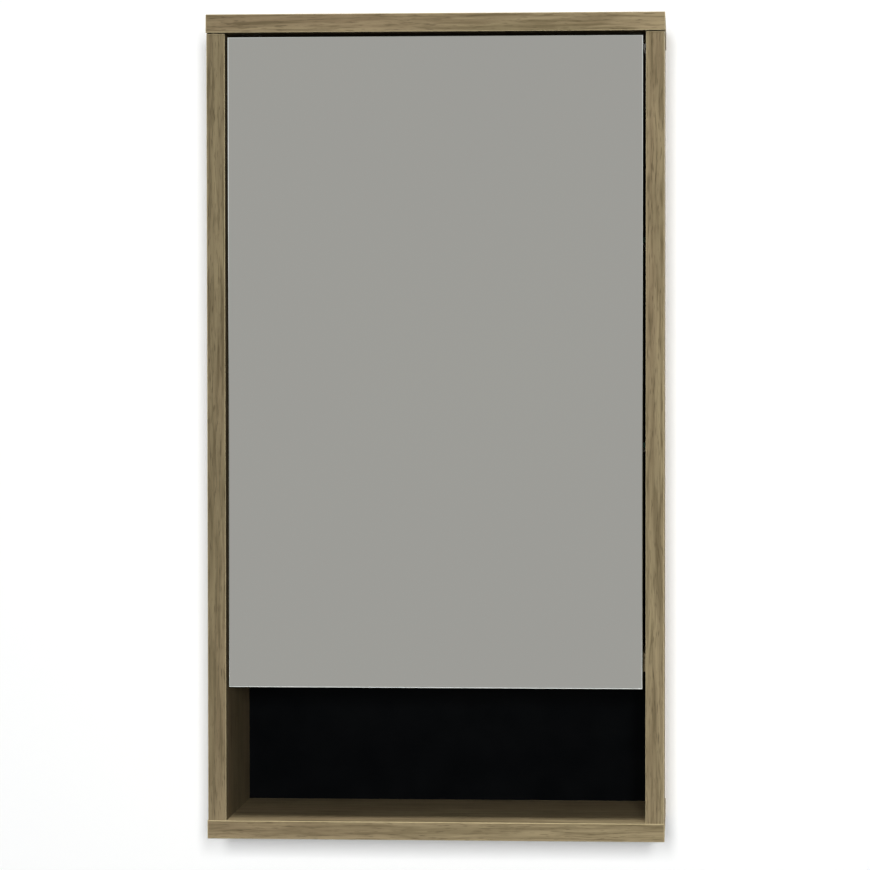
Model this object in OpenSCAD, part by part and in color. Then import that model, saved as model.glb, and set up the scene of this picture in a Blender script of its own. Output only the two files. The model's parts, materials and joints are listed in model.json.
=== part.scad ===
// Bathroom mirror cabinet: an oak-look carcass with an inset mirror door over an open niche.
// Millimetres, +Z up. The front faces -Y and the wall is the plane y = 0.
// The origin lies on the wall, at the centre of the four screw holes of the two wall plates.

/* [Cabinet] */
// Overall width, across the top and bottom panels
cab_w = 400; // [380:1:500]
// Overall height
cab_h = 720; // [710:1:800]
// Overall depth, from the wall to the front edges
cab_d = 150; // [146:1:180]
// Thickness of the carcass boards
board_t = 16; // [16:0.5:18]
// Thickness of the edging on the front edges
edging_t = 0.8; // [0.4:0.1:1.5]
// How far the top and bottom panels stand out past each side
cap_overhang = 0.6; // [0.2:0.1:2]
// How far the sides stand back from the front of the top and bottom panels
side_setback = 0.6; // [0.2:0.1:2]

/* [Back panel] */
// Thickness of the back panel
back_t = 3; // [2.5:0.5:4]
// Space between the back panel and the wall
back_recess = 16; // [15:0.5:18]
// Depth of the grooves that hold the back panel
groove_depth = 7; // [5:0.5:8]
// Clearance all round the back panel in its grooves
groove_clear = 0.1; // [0.05:0.05:0.3]

/* [Niche and shelves] */
// Clear height of the niche, from its floor to the lower edge of the door
niche_h = 117; // [90:1:150]
// How far the door hangs below the fixed shelf, as a finger pull
finger_pull = 13; // [8:1:15]
// Gap between the door and the front edge of the fixed shelf
shelf_gap = 4.6; // [4.4:0.1:6]
// Thickness of the glass shelves
glass_t = 5; // [4:0.5:6]
// Depth of the glass shelves, front to back
glass_d = 92; // [80:1:96]
// Gap at each end of a glass shelf
glass_end_gap = 1.2; // [1:0.1:2]
// Gap between a glass shelf and the back panel
glass_back_gap = 0.8; // [0.4:0.1:2]
// Height of the lower glass shelf over the fixed shelf
lower_shelf_h = 180; // [150:1:200]
// Height of the upper glass shelf over the fixed shelf
upper_shelf_h = 360; // [340:1:380]

/* [Shelf pins] */
// Diameter of the holes for the shelf pins
pin_hole_d = 5; // [5:0.5:6]
// Depth of the holes for the shelf pins
pin_hole_depth = 10; // [8:1:11]
// Radial clearance of a shelf pin in its hole
pin_clear = 0.1; // [0.05:0.05:0.2]
// Pitch of the holes in a row
row_pitch = 32; // [20:1:34]
// Holes in a row
row_holes = 3; // [1:2:3]
// Distance of the front row from the back of the door
front_row = 37; // [35:1:40]
// Distance of the rear row from the back panel
rear_row = 20; // [18:1:30]
// Diameter of a shelf pin's collar
collar_d = 8; // [7:0.5:9]
// Thickness of a shelf pin's collar
collar_t = 1; // [0.6:0.1:1]
// Length of a shelf pin's tongue
tongue_l = 8; // [6:0.5:10]

/* [Door] */
// Thickness of the door board
door_board_t = 16; // [16:0.5:18]
// Thickness of the mirror glass
mirror_t = 4; // [3:0.5:5]
// Width of the ground arris round the mirror
arris = 0.8; // [0.4:0.1:1.5]
// Gap between the door and each side panel
door_gap = 2.4; // [2.2:0.1:3]
// Gap over the door
door_top_gap = 3.7; // [2:0.1:5]
// How far the mirror stands back from the front of the cabinet
door_setback = 0.5; // [0:0.1:1]
// Diameter of the bumpers
bumper_d = 8; // [6:0.5:10]
// Distance of the outer bumper from the side panel that the door shuts against
bumper_inset = 22; // [15:1:40]
// Running gap between a bumper and the closed door
bumper_gap = 0.3; // [0.2:0.1:0.5]

/* [Joinery] */
// Diameter of the wooden dowels
dowel_d = 8; // [6:0.5:8]
// Length of the wooden dowels
dowel_l = 28; // [24:1:30]
// How deep a dowel sits in the face of a board
dowel_face_depth = 10; // [8:1:12]
// Distance of the fixed shelf's dowels from its front and rear edges
shelf_dowel_inset = 20; // [16:1:30]
// Clearance of a dowel and a screw in their holes
joint_clear = 0.05; // [0.02:0.01:0.1]
// Diameter of a carcass screw
screw_d = 5; // [4:0.5:6]
// Length of a carcass screw, under its head
screw_l = 44; // [36:1:50]
// Diameter of a carcass screw's head
screw_head_d = 9; // [8:0.5:10]
// Height of a carcass screw's head
screw_head_h = 4; // [3:0.5:5]
// Diameter of the caps over the screw heads
cap_d = 12; // [11:0.5:14]
// Thickness of the caps
cap_t = 1; // [0.6:0.1:1.5]
// Distance of the front screws from the front edge
screw_front = 30; // [24:1:34]
// Distance of the rear screws from the wall
screw_rear = 70; // [66:1:74]

/* [Hinges] */
// Distance of each hinge from the end of the door
hinge_inset = 80; // [60:1:110]
// Outer diameter of a hinge cup
cup_d = 34.8; // [34:0.2:36]
// Depth of a hinge cup, under its flange
cup_depth = 12.6; // [12.5:0.1:12.8]
// Wall of a hinge cup
cup_wall = 0.6; // [0.5:0.1:0.8]
// Clearance of a hinge cup in its bore
cup_clear = 0.1; // [0.05:0.05:0.2]
// Width of board between a cup and the edge of the door
cup_tab = 5; // [4:0.5:6]
// Thickness of a cup's flange
flange_t = 1.2; // [0.8:0.1:1.5]
// Spacing of a cup's two screws
cup_screw_span = 48; // [45:1:52]
// Diameter of a cup's screws
cup_screw_d = 3.5; // [3:0.5:4]
// How far a cup's screws reach into the door board
cup_screw_l = 11; // [8:0.5:13]
// Spacing of a mounting plate's two screws
plate_screw_span = 32; // [28:1:36]
// Diameter of a mounting plate's screws
plate_screw_d = 5; // [4:0.5:6]
// How far a mounting plate's screws reach into the side panel
plate_screw_l = 11; // [8:0.5:13]
// Thickness of a mounting plate's wings
plate_base_t = 2; // [1.5:0.1:2.5]
// Height of a mounting plate's rail over the side panel
rail_h = 12; // [10:0.5:13]
// How far a hinge arm runs back past the screws of its mounting plate
arm_reach = 22; // [20:1:26]
// Spacing of the two screws in a hinge arm
arm_screw_span = 24; // [20:1:28]
// Thickness of the arm's web
web_t = 1.6; // [1.2:0.1:2]
// Diameter of the arm's screws
arm_screw_d = 4; // [3:0.5:5]
// How far the arm's screws reach into the rail
arm_screw_l = 8; // [6:0.5:9]
// Radius of the link pins
pin_r = 1; // [0.8:0.1:1.1]
// Running clearance of a link on its pin
run_clear = 0.05; // [0.03:0.01:0.1]
// Clearance of the inner link on the pin where the closed linkage is opened
open_clear = 0.8; // [0.7:0.05:0.9]
// Gap between hinge plates that pass each other
side_play = 0.3; // [0.2:0.05:0.4]

/* [Hangers] */
// Width of a hanger's body, out from the side panel
hanger_w = 18; // [16:0.5:22]
// Depth of a hanger's body, forward from the back panel
hanger_l = 42; // [38:1:48]
// Height of a hanger's body
hanger_h = 60; // [56:1:64]
// Thickness of the body's walls
hanger_wall = 4; // [3:0.5:5]
// Gap between a hanger and the top panel
hanger_top_gap = 2; // [1.9:0.1:3]
// Thickness of a hook
hook_t = 4; // [3:0.5:5]
// Length of a hook inside its hanger, forward from the back panel
hook_tail_l = 26; // [20:1:30]
// Length of a hook's prong
prong_l = 10; // [7:0.5:11]
// Diameter of the studs that hold a hanger's body
stud_d = 8; // [6:0.5:8]
// Length of the studs that hold a hanger's body
stud_l = 9; // [7:0.5:11]
// Distance of each stud from the end of the body
stud_inset = 14; // [12:1:18]
// Diameter of the adjusting screws
adjuster_d = 6; // [5:0.5:6]
// Length of the adjusting screws
adjuster_l = 22; // [18:1:26]
// Thickness of a hanger's cover
cover_t = 1.5; // [1:0.1:1.6]
// Clearance of a cover round its body
cover_clear = 0.15; // [0.1:0.05:0.25]
// Diameter of the screwdriver holes in a cover
access_d = 7; // [6:0.5:8]

/* [Wall plates] */
// Width of a wall plate
plate_w = 50; // [40:1:60]
// Thickness of a wall plate
plate_t = 2; // [1.5:0.1:2.5]
// Gap between a wall plate and the side panel
plate_side_gap = 1.4; // [1:0.1:4]
// Diameter of the screw holes in the wall plates
wall_hole_d = 5.5; // [4.5:0.5:6.5]
// Spacing of the two screw holes in a wall plate
hole_span_z = 32; // [28:1:33]
// How far the lip of a wall plate stands off the wall
lip_stand = 8.3; // [7.5:0.1:9]
// Height of the lip over its root
lip_h = 12; // [11:0.5:13]
// Clearance of a hook round the lip
lip_clear = 0.7; // [0.5:0.1:1]
// Gap between a hook and the top of the lip
hang_clear = 0.1; // [0.05:0.05:0.3]

/* [Hidden] */
$fn = 48;
cut = 1; // how far a cutter runs past the face that it opens

// Planes of the carcass
hang_drop = 75;
top_z = hang_drop;
bottom_z = top_z - cab_h;
ceiling_z = top_z - board_t;
floor_z = bottom_z + board_t;
front_y = -cab_d;
side_out = cab_w / 2 - cap_overhang;
side_in = side_out - board_t;
side_mid = side_in + board_t / 2;
side_front_y = front_y + side_setback;
back_rear_y = -back_recess;
back_front_y = back_rear_y - back_t;
back_reach = groove_depth - groove_clear;

// Planes of the door, and of the shelf behind its lower edge
door_front_y = front_y + door_setback;
door_t = door_board_t + mirror_t;
door_back_y = door_front_y + door_t;
door_x = side_in - door_gap;
door_top_z = ceiling_z - door_top_gap;
door_bottom_z = floor_z + niche_h;
fixed_under_z = door_bottom_z + finger_pull;
fixed_top_z = fixed_under_z + board_t;
fixed_front_y = door_back_y + shelf_gap;

// Glass shelves, and the rows of holes that their pins sit in
glass_rear_y = back_front_y - glass_back_gap;
tongue_r = pin_hole_d / 2 + 1;
pin_seat = 1.5; // height of a pin's flat over its axis
row_ys = [door_back_y + front_row, back_front_y - rear_row];
lower_pin_z = fixed_top_z + lower_shelf_h - pin_seat;
upper_pin_z = fixed_top_z + upper_shelf_h - pin_seat;

// Screws and dowels that join the boards
screw_ys = [front_y + screw_front, -screw_rear];
dowel_y = (screw_ys[0] + screw_ys[1]) / 2;
shelf_dowel_ys = [fixed_front_y + shelf_dowel_inset, back_front_y - shelf_dowel_inset];
fixed_mid_z = fixed_under_z + board_t / 2;
head_sink = cap_t; // the head lies under its cap, and the cap is flush

// Screw caps and heads
socket_d = 4.6; // across the corners
socket_h = 2.5;
cap_peg_d = 3;

// Hinges: heights of their middle planes, and the plan of the linkage from the cup's centre
hinge_zs = [door_bottom_z + hinge_inset, door_top_z - hinge_inset];
cup_x = door_gap + cup_tab + cup_d / 2 + cup_clear;
cup_at = [cup_x, door_t];
pin_a = cup_at + [18, 12]; // outer link in the arm
pin_b = cup_at + [11.65, -4]; // inner link in the arm
pin_c = cup_at + [-7.4, -6.85]; // outer link in the cup
pin_d = cup_at + [-5.65, -9.2]; // inner link in the cup
bend_ac = cup_at + [5, -6];
bend_bd = cup_at + [8.1, -7];
link_h = 1.3; // half width of a link
link_r = 2.4; // boss at a link's end
flange_d = cup_d + 4;
wing_x = cup_x + 6;
wing_w = 12;
wing_l = cup_screw_span + 12;
seat_clear = 0.02; // of a pin in the plate that holds it
pin_hold = 2.5;

// Layers of a hinge, out from its middle plane
lug_r = pin_r + 1;
lug_z = 1.5;
inner_z0 = lug_z + side_play;
inner_z1 = inner_z0 + 3.4;
arm_z0 = inner_z1 + 2 * side_play;
arm_z1 = arm_z0 + web_t;
outer_z0 = arm_z1 + side_play;
outer_z1 = outer_z0 + 1.8;
cheek_z = outer_z1 + side_play;

// The arm and its mounting plate
arm_h = 2; // half width of the crank
knee_r = arm_h + 0.2; // boss at its knee
arm_r = 2.3; // boss round an arm pin
knee = cup_at + [9.65, 11.3];
heel = [rail_h - arm_h, knee.y + 8];
plate_y = door_t + front_row;
plate_l = plate_screw_span + 14;
channel_low_x = 4.2;
channel_y0 = heel.y - 3;
channel_y1 = plate_y + arm_reach;
rail_inset = 3;
rail_z = arm_z0 - side_play;
arm_screw_ys = [plate_y - arm_screw_span / 2, plate_y + arm_screw_span / 2];
slot_w = 0.9; // of a screw's cross recess

// Hangers: planes of the body, then of the hook, which hangs on the wall plate's lip
hanger_high_z = ceiling_z - hanger_top_gap;
hanger_low_z = hanger_high_z - hanger_h;
hanger_front_y = back_front_y - hanger_l;
hook_mid_x = side_in - hanger_w / 2;
slot_clear = 0.5;
window_clear = 1;
stud_zs = [hanger_low_z + stud_inset, hanger_high_z - stud_inset];
stud_y = back_front_y - hanger_l / 2;
adjuster_clear = 0.2;
adjuster_zs = [hanger_low_z + 12, hanger_high_z - 9];
plate_mid_x = side_in - plate_side_gap - plate_w / 2;
plate_low = hole_span_z / 2 + 9;
lip_root_z = hole_span_z / 2 + 6;
lip_top_z = lip_root_z + lip_h;
lip_front_y = -lip_stand;
neck_z = lip_top_z + hang_clear;
neck_h = 8;
hook_drop = 8;
hook_tail_y = back_front_y - hook_tail_l;
prong_front_y = lip_front_y + plate_t + lip_clear;
prong_rear_y = -plate_t - lip_clear;

oak = [0.53, 0.46, 0.36];
oak_edge = [0.57, 0.50, 0.39];

// A box between two corners
module block(low, high) {
    translate(low) cube(high - low);
}

// A cylinder of radius r from point p, of length l along +X, +Y or +Z
module rod_x(p, r, l) { translate(p) rotate([0, 90, 0]) cylinder(r = r, h = l); }
module rod_y(p, r, l) { translate(p) rotate([-90, 0, 0]) cylinder(r = r, h = l); }
module rod_z(p, r, l) { translate(p) cylinder(r = r, h = l); }

// Draws its children for the right side of the cabinet, or mirrored for the left
module handed(side) {
    mirror([side < 0 ? 1 : 0, 0, 0]) children();
}

// One carcass screw, its head under the outer face at z = 0 and its tip along +Z
module one_screw(play) {
    shank_r = screw_d / 2 + play;
    translate([0, 0, head_sink]) cylinder(r1 = screw_head_d / 2 + play, r2 = shank_r, h = screw_head_h);
    translate([0, 0, head_sink]) cylinder(r = shank_r, h = screw_l + play);
}

// Places its children at each carcass screw, +Z running from the outer face into the cabinet
module at_screws() {
    for (x = [-side_mid, side_mid], y = screw_ys) {
        translate([x, y, top_z]) rotate([180, 0, 0]) children();
        translate([x, y, bottom_z]) children();
    }
}

// The holes that the carcass screws and their caps sit in
module screw_holes() {
    at_screws() {
        one_screw(joint_clear);
        translate([0, 0, -cut]) cylinder(d = cap_d + 2 * joint_clear, h = cut + cap_t);
    }
}

// The wooden dowels, or with some play the holes that they sit in
module dowel_set(play) {
    r = dowel_d / 2 + play;
    l = dowel_l + 2 * play;
    for (side = [-1, 1]) handed(side) {
        rod_z([side_mid, dowel_y, ceiling_z + dowel_face_depth - dowel_l - play], r, l);
        rod_z([side_mid, dowel_y, floor_z - dowel_face_depth - play], r, l);
        for (y = shelf_dowel_ys)
            rod_x([side_in + dowel_face_depth - dowel_l - play, y, fixed_mid_z], r, l);
    }
}

// The back panel without its windows, or with some play the grooves that hold it
module back_blank(play) {
    reach = back_reach + play;
    block([-side_in - reach, back_front_y - play, floor_z - reach],
          [side_in + reach, back_rear_y + play, ceiling_z + reach]);
}

module top_panel() {
    color(oak) difference() {
        block([-cab_w / 2, front_y + edging_t, ceiling_z], [cab_w / 2, 0, top_z]);
        back_blank(groove_clear);
        dowel_set(joint_clear);
        screw_holes();
    }
}

module bottom_panel() {
    color(oak) difference() {
        block([-cab_w / 2, front_y + edging_t, bottom_z], [cab_w / 2, 0, floor_z]);
        back_blank(groove_clear);
        dowel_set(joint_clear);
        screw_holes();
    }
}

// Rows of holes for the shelf pins, in the right side panel
module pin_holes() {
    last = (row_holes - 1) / 2;
    for (z = [lower_pin_z, upper_pin_z], y = row_ys, k = [-last : last])
        rod_x([side_in - cut, y, z + k * row_pitch], pin_hole_d / 2, cut + pin_hole_depth);
}

// A side panel with what both sides share
module side_panel(side) {
    difference() {
        handed(side) difference() {
            block([side_in, side_front_y + edging_t, floor_z], [side_out, 0, ceiling_z]);
            pin_holes();
            hanger_studs(joint_clear);
        }
        back_blank(groove_clear);
        dowel_set(joint_clear);
        screw_holes();
    }
}

module left_side_panel() {
    color(oak) difference() {
        side_panel(-1);
        for (z = hinge_zs) at_hinge(z) plate_screw_holes();
    }
}

module right_side_panel() {
    color(oak) side_panel(1);
}

module fixed_shelf() {
    color(oak) difference() {
        block([-side_in, fixed_front_y + edging_t, fixed_under_z], [side_in, back_front_y, fixed_top_z]);
        dowel_set(joint_clear);
    }
}

module back_panel() {
    color([0.06, 0.06, 0.07]) difference() {
        back_blank(0);
        for (side = [-1, 1]) handed(side) hanger_window();
    }
}

module top_edging() {
    color(oak_edge) block([-cab_w / 2, front_y, ceiling_z], [cab_w / 2, front_y + edging_t, top_z]);
}

module bottom_edging() {
    color(oak_edge) block([-cab_w / 2, front_y, bottom_z], [cab_w / 2, front_y + edging_t, floor_z]);
}

module side_edging(side) {
    handed(side) block([side_in, side_front_y, floor_z], [side_out, side_front_y + edging_t, ceiling_z]);
}

module left_edging() { color(oak_edge) side_edging(-1); }

module right_edging() { color(oak_edge) side_edging(1); }

module shelf_edging() {
    color(oak_edge)
        block([-side_in, fixed_front_y, fixed_under_z], [side_in, fixed_front_y + edging_t, fixed_top_z]);
}

module carcass_dowels() { color("burlywood") dowel_set(0); }

module carcass_screws() {
    color("silver") at_screws() difference() {
        one_screw(0);
        translate([0, 0, head_sink - cut]) cylinder(d = socket_d, h = cut + socket_h, $fn = 6);
    }
}

module screw_caps() {
    color(oak) at_screws() {
        cylinder(d = cap_d, h = cap_t);
        translate([0, 0, cap_t]) cylinder(d = cap_peg_d, h = socket_h - joint_clear);
    }
}

// The door

// Cuts the arris along one edge of the mirror, centred on the edge and running along +Z
module arris_cutter(l) {
    s = arris * sqrt(2);
    rotate([0, 0, 45]) cube([s, s, l], center = true);
}

module mirror_glass() {
    door_mid_z = (door_top_z + door_bottom_z) / 2;
    color([0.61, 0.61, 0.60]) difference() {
        block([-door_x, door_front_y, door_bottom_z], [door_x, door_front_y + mirror_t, door_top_z]);
        for (x = [-door_x, door_x])
            translate([x, door_front_y, door_mid_z]) arris_cutter(cab_h);
        for (z = [door_bottom_z, door_top_z])
            translate([0, door_front_y, z]) rotate([0, 90, 0]) arris_cutter(cab_w);
    }
}

module door_board() {
    color(oak) difference() {
        block([-door_x + edging_t, door_front_y + mirror_t, door_bottom_z + edging_t],
              [door_x - edging_t, door_back_y, door_top_z - edging_t]);
        for (z = hinge_zs) at_hinge(z) cup_recess();
    }
}

module door_edging() {
    y0 = door_front_y + mirror_t;
    color(oak_edge) {
        for (z = [door_bottom_z, door_top_z - edging_t])
            block([-door_x, y0, z], [door_x, door_back_y, z + edging_t]);
        for (x = [-door_x, door_x - edging_t])
            block([x, y0, door_bottom_z + edging_t], [x + edging_t, door_back_y, door_top_z - edging_t]);
    }
}

module door_bumpers() {
    l = shelf_gap - bumper_gap;
    color([0.85, 0.87, 0.88]) for (x = [0, side_in - bumper_inset])
        rod_y([x, fixed_front_y - l, fixed_mid_z], bumper_d / 2, l);
}

// The glass shelves and their pins

module glass_shelf(pin_z) {
    z = pin_z + pin_seat;
    x = side_in - glass_end_gap;
    color([0.75, 0.88, 0.85, 0.5]) block([-x, glass_rear_y - glass_d, z], [x, glass_rear_y, z + glass_t]);
}

module upper_glass_shelf() { glass_shelf(upper_pin_z); }

module lower_glass_shelf() { glass_shelf(lower_pin_z); }

// One pin in the right side panel: stud, collar and a tongue with a flat on top
module shelf_pin(y, z) {
    face = side_in - collar_t;
    rod_x([face, y, z], pin_hole_d / 2 - pin_clear, collar_t + pin_hole_depth - pin_clear);
    rod_x([face, y, z], collar_d / 2, collar_t);
    difference() {
        rod_x([face - tongue_l, y, z], tongue_r, tongue_l);
        block([face - tongue_l - cut, y - collar_d, z + pin_seat], [face, y + collar_d, z + collar_d]);
    }
}

module shelf_pins(pin_z) {
    color("silver") for (side = [-1, 1], y = row_ys) handed(side) shelf_pin(y, pin_z);
}

module upper_shelf_pins() { shelf_pins(upper_pin_z); }

module lower_shelf_pins() { shelf_pins(lower_pin_z); }

// The hangers, drawn for the right side: a body on the side panel, a hook through the back panel

// The space inside a hanger's body, open to the rear
module hanger_slot() {
    block([hook_mid_x - hook_t / 2 - slot_clear, hanger_front_y + hanger_wall, hanger_low_z + hanger_wall],
          [hook_mid_x + hook_t / 2 + slot_clear, back_front_y + cut, hanger_high_z - hanger_wall]);
}

// The two studs that hold a hanger's body, or with some play their holes in the side panel
module hanger_studs(play) {
    for (z = stud_zs)
        rod_x([side_in - (play > 0 ? cut : 0), stud_y, z], stud_d / 2 + play,
              (play > 0 ? cut : 0) + stud_l + play);
}

// The bores for the two adjusting screws, from the front of the body into its slot
module adjuster_bores(r) {
    for (z = adjuster_zs)
        rod_y([hook_mid_x, hanger_front_y - cut, z], r, cut + hanger_wall + cut);
}

module hanger_body(side) {
    color([0.90, 0.90, 0.88]) handed(side) {
        difference() {
            block([side_in - hanger_w, hanger_front_y, hanger_low_z], [side_in, back_front_y, hanger_high_z]);
            hanger_slot();
            adjuster_bores(adjuster_d / 2 + adjuster_clear);
        }
        hanger_studs(0);
    }
}

// A hook: a tail in the body's slot, a neck over the lip and a prong behind it
module hanger_hook(side) {
    x0 = hook_mid_x - hook_t / 2;
    x1 = hook_mid_x + hook_t / 2;
    color("silver") handed(side) {
        block([x0, hook_tail_y, neck_z - hook_drop], [x1, lip_front_y - lip_clear, neck_z + neck_h]);
        block([x0, lip_front_y - lip_clear - cut, neck_z], [x1, prong_rear_y, neck_z + neck_h]);
        block([x0, prong_front_y, neck_z - prong_l], [x1, prong_rear_y, neck_z + cut]);
    }
}

// The window in the back panel that a hook passes through
module hanger_window() {
    block([hook_mid_x - hook_t / 2 - window_clear, back_front_y - cut, neck_z - hook_drop - window_clear],
          [hook_mid_x + hook_t / 2 + window_clear, back_rear_y + cut, neck_z + neck_h + window_clear]);
}

// The cap clipped over a hanger's body, with two holes for a screwdriver
module hanger_cover(side) {
    g = cover_clear;
    w = cover_t + g;
    color([0.93, 0.93, 0.91]) handed(side) difference() {
        block([side_in - hanger_w - w, hanger_front_y - w, hanger_low_z - w],
              [side_in - g, back_front_y - g, hanger_high_z + w]);
        block([side_in - hanger_w - g, hanger_front_y - g, hanger_low_z - g],
              [side_in, back_front_y, hanger_high_z + g]);
        for (z = adjuster_zs)
            rod_y([hook_mid_x, hanger_front_y - w - cut, z], access_d / 2, w + 2 * cut);
    }
}

// An adjusting screw: a slotted head in the body's bore and a shank in its slot
module adjuster(z) {
    head_l = hanger_wall - 0.5;
    y0 = hanger_front_y + 0.5;
    difference() {
        union() {
            rod_y([hook_mid_x, y0, z], adjuster_d / 2, head_l);
            rod_y([hook_mid_x, y0 + head_l, z], adjuster_d / 2 - 1, adjuster_l - head_l);
        }
        block([hook_mid_x - adjuster_d, y0 - cut, z - 0.5], [hook_mid_x + adjuster_d, y0 + 1.5, z + 0.5]);
    }
}

module hanger_adjusters() {
    color("silver") for (side = [-1, 1], z = adjuster_zs) handed(side) adjuster(z);
}

// A wall plate: a flat with two screw holes, bent forward and up into a lip
module wall_plate(side) {
    x0 = plate_mid_x - plate_w / 2;
    x1 = plate_mid_x + plate_w / 2;
    color([0.75, 0.76, 0.78]) handed(side) difference() {
        union() {
            block([x0, -plate_t, -plate_low], [x1, 0, lip_root_z]);
            block([x0, lip_front_y, lip_root_z - plate_t], [x1, -plate_t, lip_root_z]);
            block([x0, lip_front_y, lip_root_z], [x1, lip_front_y + plate_t, lip_top_z]);
        }
        for (z = [-hole_span_z / 2, hole_span_z / 2])
            rod_y([plate_mid_x, -plate_t - cut, z], wall_hole_d / 2, plate_t + 2 * cut);
    }
}

module left_hanger_body() { hanger_body(-1); }

module right_hanger_body() { hanger_body(1); }

module left_hanger_hook() { hanger_hook(-1); }

module right_hanger_hook() { hanger_hook(1); }

module left_hanger_cover() { hanger_cover(-1); }

module right_hanger_cover() { hanger_cover(1); }

module left_wall_plate() { wall_plate(-1); }

module right_wall_plate() { wall_plate(1); }

// The hinges. In a hinge's own frame X runs from the side panel, Y from the front of the door
// and Z = 0 is the hinge's middle plane, on which every piece is symmetric.

// Places its children at a hinge
module at_hinge(z) {
    translate([-side_in, door_front_y, z]) children();
}

// Draws its children on both sides of the hinge's middle plane
module both_sides() {
    children();
    mirror([0, 0, 1]) children();
}

// A straight bar between two points of the plan, of half width h, from height z0 to z1
module bar(p, q, h, z0, z1) {
    d = q - p;
    translate([p.x, p.y, z0]) rotate([0, 0, atan2(d.y, d.x)])
        translate([0, -h, 0]) cube([norm(d), 2 * h, z1 - z0]);
}

// A round boss at a point of the plan
module boss(p, r, z0, z1) {
    rod_z([p.x, p.y, z0], r, z1 - z0);
}

// The normal of a line in the plan, to its left
function normal(p, q) = [p.y - q.y, q.x - p.x] / norm(q - p);

// A bent link between two pins, mitred at the bend, from height z0 to z1
module bent_link(p, bend, q, z0, z1) {
    n0 = normal(p, bend);
    n1 = normal(bend, q);
    mitre = (n0 + n1) / (1 + n0 * n1);
    translate([0, 0, z0]) linear_extrude(z1 - z0)
        polygon([p + link_h * n0, bend + link_h * mitre, q + link_h * n1,
                 q - link_h * n1, bend - link_h * mitre, p - link_h * n0]);
}

// The bore in the door board, and the pilot holes for the cup's screws
module cup_recess() {
    rod_y([cup_x, door_t - cup_depth - cup_clear, 0], cup_d / 2 + cup_clear, cup_depth + cup_clear + cut);
    for (z = [-cup_screw_span / 2, cup_screw_span / 2])
        rod_y([wing_x, door_t - cup_screw_l - joint_clear, z], cup_screw_d / 2 + joint_clear,
              cup_screw_l + joint_clear + cut);
}

// The holes in the side panel for the screws of a mounting plate
module plate_screw_holes() {
    for (z = [-plate_screw_span / 2, plate_screw_span / 2])
        rod_x([-plate_screw_l - joint_clear, plate_y, z], plate_screw_d / 2 + joint_clear,
              plate_screw_l + joint_clear + cut);
}

// A pressed cup with a flange on the door, notched where the arm folds in. Its cheeks hold the
// stub pins of the outer link, and the lug on its floor holds the pin of the inner link.
module hinge_cup(z) {
    pocket_y = door_t - cup_depth + cup_wall;
    color("gainsboro") at_hinge(z) {
        difference() {
            union() {
                rod_y([cup_x, door_t - cup_depth, 0], cup_d / 2, cup_depth + flange_t);
                rod_y([cup_x, door_t, 0], flange_d / 2, flange_t);
                block([wing_x - wing_w / 2, door_t, -wing_l / 2],
                      [wing_x + wing_w / 2, door_t + flange_t, wing_l / 2]);
            }
            intersection() {
                rod_y([cup_x, pocket_y, 0], cup_d / 2 - cup_wall, cup_depth + flange_t);
                block([cup_x - cup_d, pocket_y, -cheek_z], [cup_x + cup_d, door_t + 2 * flange_t, cheek_z]);
            }
            block([cup_x - flange_d, door_t, -cheek_z], [cup_x - cup_d / 4, door_t + 2 * flange_t, cheek_z]);
            both_sides() boss(pin_c, pin_r + seat_clear, cheek_z - cut, cheek_z + pin_hold);
            for (s = [-cup_screw_span / 2, cup_screw_span / 2])
                rod_y([wing_x, door_t - cut, s], cup_screw_d / 2 + joint_clear, flange_t + 2 * cut);
        }
        difference() {
            union() {
                boss(pin_d, lug_r, -lug_z, lug_z);
                block([pin_d.x - lug_r, pocket_y - cup_wall / 2, -lug_z], [pin_d.x + lug_r, pin_d.y, lug_z]);
            }
            boss(pin_d, pin_r + seat_clear, -lug_z - cut, lug_z + cut);
        }
    }
}

// The outer link, a pair of plates that run outside the arm
module outer_link(z) {
    color("silver") at_hinge(z) both_sides() difference() {
        union() {
            bent_link(pin_a, bend_ac, pin_c, outer_z0, outer_z1);
            for (p = [pin_a, pin_c]) boss(p, link_r, outer_z0, outer_z1);
        }
        for (p = [pin_a, pin_c]) boss(p, pin_r + run_clear, outer_z0 - cut, outer_z1 + cut);
    }
}

// The inner link, a fork whose two plates run inside the arm and straddle the lug
module inner_link(z) {
    color("silver") at_hinge(z) difference() {
        union() {
            both_sides() {
                bent_link(pin_b, bend_bd, pin_d, inner_z0, inner_z1);
                boss(pin_d, link_r, inner_z0, inner_z1);
            }
            boss(pin_b, link_r, -inner_z1, inner_z1);
        }
        boss(pin_b, pin_r + run_clear, -arm_z1, arm_z1);
        boss(pin_d, pin_r + open_clear, -arm_z1, arm_z1);
    }
}

// The hinge arm: a channel over the rail of the mounting plate, cranked out to its two pins
module hinge_arm(z) {
    color("gainsboro") at_hinge(z) difference() {
        union() {
            both_sides() {
                bar(pin_a, knee, arm_h, arm_z0, arm_z1);
                bar(pin_b, knee, arm_h, arm_z0, arm_z1);
                bar(knee, heel, arm_h, arm_z0, arm_z1);
                for (p = [pin_a, pin_b]) boss(p, arm_r, arm_z0, arm_z1);
                boss(knee, knee_r, arm_z0, arm_z1);
                block([channel_low_x, channel_y0, arm_z0], [rail_h + web_t, channel_y1, arm_z1]);
            }
            block([rail_h, channel_y0, -arm_z0], [rail_h + web_t, channel_y1, arm_z0]);
        }
        both_sides() boss(pin_a, pin_r + seat_clear, arm_z0 - cut, arm_z1 + cut);
        boss(pin_b, pin_r + seat_clear, -arm_z1 - cut, arm_z1 + cut);
        for (y = arm_screw_ys) rod_x([rail_h - cut, y, 0], arm_screw_d / 2 + joint_clear, web_t + 2 * cut);
    }
}

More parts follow.
